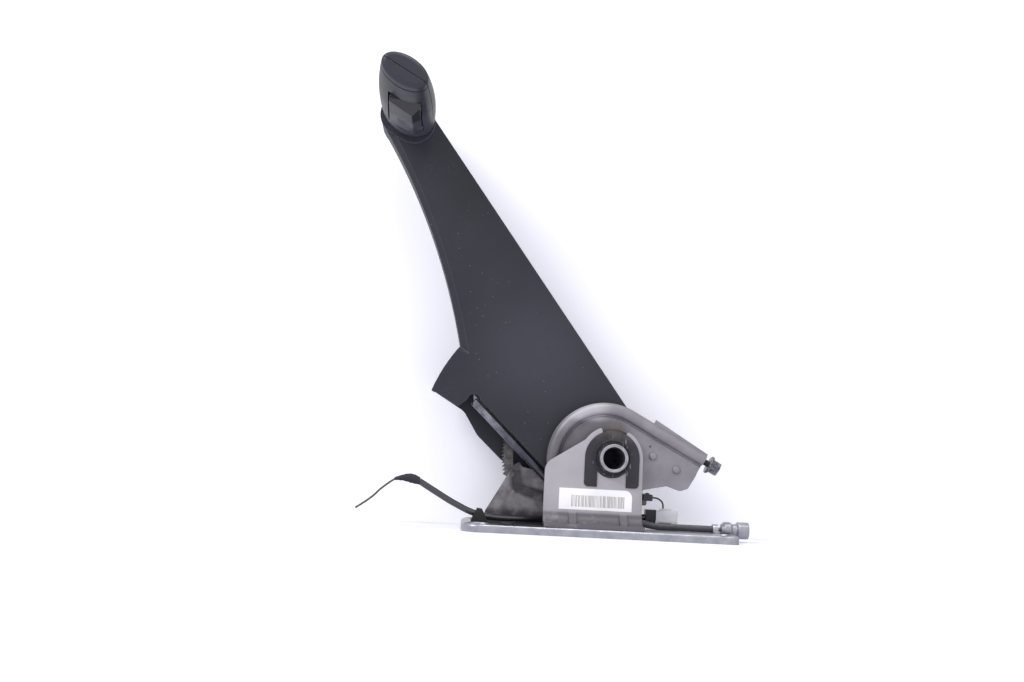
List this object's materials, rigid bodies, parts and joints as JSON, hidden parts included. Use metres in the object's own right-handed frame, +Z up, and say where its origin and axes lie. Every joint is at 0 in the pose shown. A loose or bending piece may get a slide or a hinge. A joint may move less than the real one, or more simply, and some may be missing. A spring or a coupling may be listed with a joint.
{
  "type": "hand brake lever",
  "caption": "Floor-mounted parking brake lever with covered steel arm, side grip and release button, ratchet, cable quadrant and warning switch.",
  "frame": {"origin": "centre of the four base bolt holes, on the underside of the base plate", "axes": "+Z up from the floor, +X from the lever towards the brake cable's exit, +Y away from the side that the grip stands out of; the lever's pivot is parallel to Y"},
  "size_m": [0.305, 0.152, 0.3434],
  "materials": {
    "zinc_plate": "bluish zinc plate, satin",
    "bracket_paint": "light grey paint, semi-gloss",
    "greased_steel": "grey with grease",
    "hardened_steel": "dark heat-treated",
    "quadrant_steel": "warm grey coat, satin",
    "bright_steel": "bright, fine drawn lines",
    "strand_steel": "bare wire",
    "cover_plastic": "fine moulded grain",
    "grip_plastic": "satin grain",
    "bush_plastic": "satin",
    "sleeve_plastic": "satin",
    "switch_plastic": "matt",
    "connector_plastic": "milky, slightly clear",
    "clip_plastic": "matt",
    "loom_plastic": "cloth tape, matt",
    "wire_rubber": "thin wire coat"
  },
  "bodies": {
    "base": {"base_plate": "zinc_plate", "front_bracket": "bracket_paint", "front_pivot_bush": "bush_plastic", "ratchet_bracket": "greased_steel", "ratchet_sector": "hardened_steel", "sector_rivets": "hardened_steel", "rear_pivot_bush": "bush_plastic", "cable_sleeve": "sleeve_plastic", "cable_clip": "bright_steel", "switch_body": "switch_plastic", "switch_plug": "switch_plastic", "switch_connector": "connector_plastic", "switch_clip": "bright_steel", "switch_wire": "wire_rubber", "harness_clip": "clip_plastic", "push_pin": "clip_plastic", "loom_sleeve": "loom_plastic", "loom_tape": "loom_plastic", "loom_wire": "wire_rubber"},
    "lever": {"pivot_tube": "bright_steel", "lever_arm": "bright_steel", "arm_cover_near": "cover_plastic", "arm_cover_far": "cover_plastic", "cover_screws": "bright_steel", "quadrant_near_plate": "quadrant_steel", "quadrant_far_plate": "quadrant_steel", "quadrant_rivets": "quadrant_steel", "adjuster_rod": "bright_steel", "adjuster_nut": "bright_steel", "cable_strand": "strand_steel", "grip_core": "bright_steel", "grip_upper_shell": "grip_plastic", "grip_lower_shell": "grip_plastic", "pawl_pin": "bright_steel", "pawl_spring": "strand_steel"},
    "button": {"release_button": "grip_plastic"},
    "rocker": {"release_rocker": "hardened_steel"},
    "rod": {"release_rod": "bright_steel"},
    "pawl_body": {"pawl": "hardened_steel"},
    "cable_end": {"cable_end_fitting": "zinc_plate", "cable_tail": "strand_steel"},
    "plunger": {"switch_plunger": "switch_plastic"}
  },
  "joints": [
    {"name": "lever_pivot", "type": "hinge", "parent": "base", "child": "lever", "pos_m": [0.008, 0, 0.06], "axis": [0, 1, 0], "range_deg": [-30, 3], "deforming": ["cable_strand"]},
    {"name": "button_slide", "type": "slide", "parent": "lever", "child": "button", "axis": [0.1736, 0, 0.9848], "range_m": [0, 0.0045], "stiffness_N_per_m": 600, "springref_m": -0.004},
    {"name": "rocker_turn", "type": "hinge", "parent": "lever", "child": "rocker", "pos_m": [-0.1645, 0, 0.324], "axis": [0, -1, 0], "range_deg": [0, 23.5]},
    {"name": "rod_slide", "type": "slide", "parent": "lever", "child": "rod", "axis": [-0.3172, 0, 0.9484], "range_m": [0, 0.0046]},
    {"name": "pawl_turn", "type": "hinge", "parent": "lever", "child": "pawl_body", "pos_m": [-0.0663, 0, 0.1269], "axis": [0, 1, 0], "range_deg": [0, 13]},
    {"name": "cable_end_slide", "type": "slide", "parent": "base", "child": "cable_end", "axis": [1, 0, 0], "range_m": [-0.0021, 0.0207]},
    {"name": "plunger_slide", "type": "slide", "parent": "base", "child": "plunger", "axis": [0, 0, -1], "range_m": [0, 0.0012], "stiffness_N_per_m": 300, "springref_m": -0.001}
  ],
  "couplings": [
    {"joint": "rocker_turn", "follows": "button_slide", "rad_per_m": 90.91},
    {"joint": "rod_slide", "follows": "button_slide", "ratio": 1},
    {"joint": "pawl_turn", "follows": "button_slide", "rad_per_m": 50},
    {"joint": "cable_end_slide", "follows": "lever_pivot", "m_per_rad": -0.0394}
  ]
}
